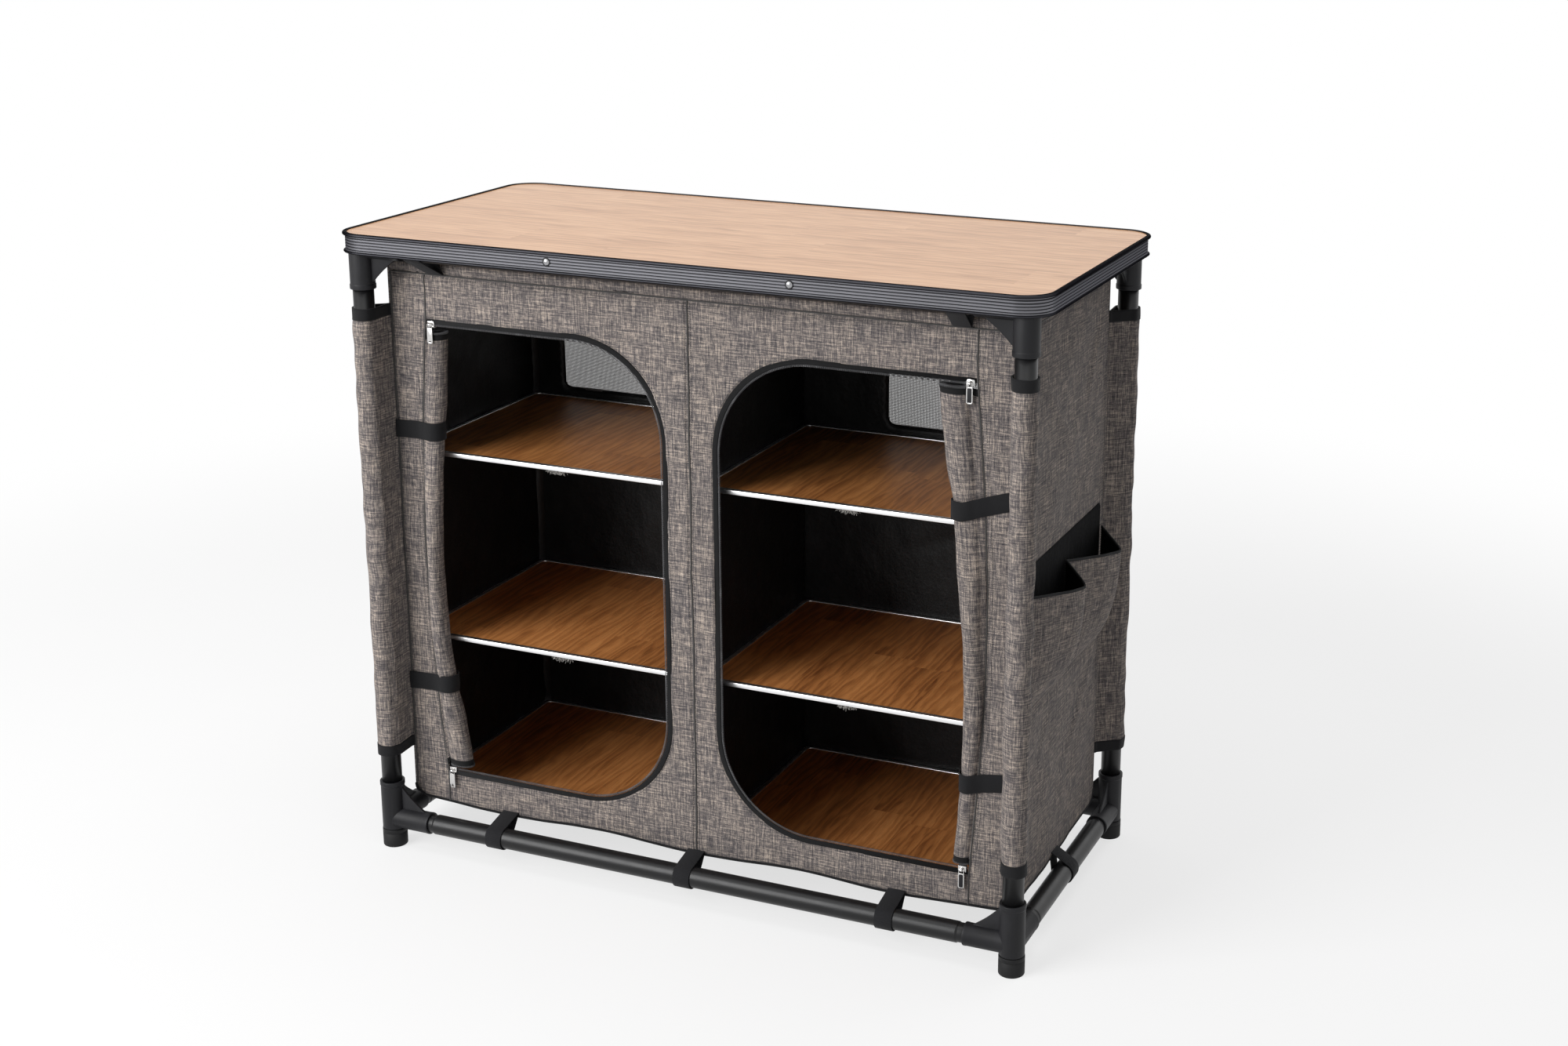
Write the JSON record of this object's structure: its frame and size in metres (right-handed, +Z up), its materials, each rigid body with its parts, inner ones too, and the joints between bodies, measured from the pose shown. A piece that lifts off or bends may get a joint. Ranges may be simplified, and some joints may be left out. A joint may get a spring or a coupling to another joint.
{
  "type": "chuck box",
  "caption": "Camp kitchen cupboard: tube frame with a wood-look tabletop that lifts off, cloth body with rolled zip doors, stiff shelves and side pockets.",
  "frame": {"origin": "on the floor under the middle of the stand", "axes": "+X to the right as seen from the doors, +Y from the doors to the rear wall, +Z up"},
  "size_m": [1, 0.4772, 0.889],
  "materials": {
    "black_plastic": "matt black moulded connectors and feet",
    "black_tube": "satin black tube",
    "black_edge_rail": "black anodised, ribbed",
    "beech_laminate": "satin pale beech laminate",
    "brown_board": "brown wood board with bright edge strip",
    "grey_melange_cloth": "matt melange weave",
    "black_lining": "matt black coated lining",
    "black_webbing": "black webbing and zip tape",
    "nickel": "bright nickel"
  },
  "bodies": {
    "frame": {"leg_left_front": "black_tube", "bottom_connector_left_front": "black_plastic", "top_connector_left_front": "black_plastic", "leg_left_rear": "black_tube", "bottom_connector_left_rear": "black_plastic", "top_connector_left_rear": "black_plastic", "leg_right_front": "black_tube", "bottom_connector_right_front": "black_plastic", "top_connector_right_front": "black_plastic", "leg_right_rear": "black_tube", "bottom_connector_right_rear": "black_plastic", "top_connector_right_rear": "black_plastic", "bottom_rail_front": "black_tube", "bottom_rail_rear": "black_tube", "bottom_rail_left": "black_tube", "bottom_rail_right": "black_tube", "top_rail_front": "black_tube", "top_rail_rear": "black_tube", "top_rail_left": "black_tube", "top_rail_right": "black_tube", "panel_front": "grey_melange_cloth", "panel_rear": "grey_melange_cloth", "panel_left": "grey_melange_cloth", "panel_right": "grey_melange_cloth", "side_pockets": "grey_melange_cloth", "rolled_door_left": "grey_melange_cloth", "rolled_door_right": "grey_melange_cloth", "roof_panel": "black_lining", "floor_panel": "black_lining", "divider": "black_lining", "shelf_left_upper": "brown_board", "shelf_left_middle": "brown_board", "shelf_left_lower": "brown_board", "zip_left": "black_webbing", "strap_left": "black_webbing", "shelf_right_upper": "brown_board", "shelf_right_middle": "brown_board", "shelf_right_lower": "brown_board", "zip_right": "black_webbing", "strap_right": "black_webbing", "strap_front_left": "black_webbing", "strap_front_middle": "black_webbing", "strap_front_right": "black_webbing", "strap_rear_left": "black_webbing", "strap_rear_middle": "black_webbing", "strap_rear_right": "black_webbing"},
    "tabletop": {"table_panel": "beech_laminate", "table_rim": "black_edge_rail"},
    "foot_left_front": {"foot_left_front": "black_plastic"},
    "foot_left_rear": {"foot_left_rear": "black_plastic"},
    "foot_right_front": {"foot_right_front": "black_plastic"},
    "foot_right_rear": {"foot_right_rear": "black_plastic"},
    "zip_slider_left_top": {"zip_slider_left_top": "nickel"},
    "zip_pull_left_top": {"zip_pull_left_top": "nickel"},
    "zip_slider_left_bottom": {"zip_slider_left_bottom": "nickel"},
    "zip_pull_left_bottom": {"zip_pull_left_bottom": "nickel"},
    "zip_slider_right_top": {"zip_slider_right_top": "nickel"},
    "zip_pull_right_top": {"zip_pull_right_top": "nickel"},
    "zip_slider_right_bottom": {"zip_slider_right_bottom": "nickel"},
    "zip_pull_right_bottom": {"zip_pull_right_bottom": "nickel"}
  },
  "joints": [
    {"name": "tabletop_lift", "type": "slide", "parent": "frame", "child": "tabletop", "axis": [0, 0, 1], "range_m": [0, 0.05]},
    {"name": "foot_left_front_screw_out", "type": "slide", "parent": "frame", "child": "foot_left_front", "axis": [0, 0, -1], "range_m": [0, 0.012]},
    {"name": "foot_left_rear_screw_out", "type": "slide", "parent": "frame", "child": "foot_left_rear", "axis": [0, 0, -1], "range_m": [0, 0.012]},
    {"name": "foot_right_front_screw_out", "type": "slide", "parent": "frame", "child": "foot_right_front", "axis": [0, 0, -1], "range_m": [0, 0.012]},
    {"name": "foot_right_rear_screw_out", "type": "slide", "parent": "frame", "child": "foot_right_rear", "axis": [0, 0, -1], "range_m": [0, 0.012]},
    {"name": "zip_slider_left_top_run", "type": "slide", "parent": "frame", "child": "zip_slider_left_top", "axis": [1, 0, 0], "range_m": [0, 0.2]},
    {"name": "zip_pull_left_top_swing", "type": "hinge", "parent": "zip_slider_left_top", "child": "zip_pull_left_top", "pos_m": [-0.3865, -0.1838, 0.7632], "axis": [-1, 0, 0], "range_deg": [0, 170]},
    {"name": "zip_slider_left_bottom_run", "type": "slide", "parent": "frame", "child": "zip_slider_left_bottom", "axis": [1, 0, 0], "range_m": [0, 0.2]},
    {"name": "zip_pull_left_bottom_swing", "type": "hinge", "parent": "zip_slider_left_bottom", "child": "zip_pull_left_bottom", "pos_m": [-0.3865, -0.1838, 0.1138], "axis": [-1, 0, 0], "range_deg": [0, 170]},
    {"name": "zip_slider_right_top_run", "type": "slide", "parent": "frame", "child": "zip_slider_right_top", "axis": [-1, 0, 0], "range_m": [0, 0.2]},
    {"name": "zip_pull_right_top_swing", "type": "hinge", "parent": "zip_slider_right_top", "child": "zip_pull_right_top", "pos_m": [0.3865, -0.1838, 0.7632], "axis": [-1, 0, 0], "range_deg": [0, 170]},
    {"name": "zip_slider_right_bottom_run", "type": "slide", "parent": "frame", "child": "zip_slider_right_bottom", "axis": [-1, 0, 0], "range_m": [0, 0.2]},
    {"name": "zip_pull_right_bottom_swing", "type": "hinge", "parent": "zip_slider_right_bottom", "child": "zip_pull_right_bottom", "pos_m": [0.3865, -0.1838, 0.1138], "axis": [-1, 0, 0], "range_deg": [0, 170]}
  ]
}
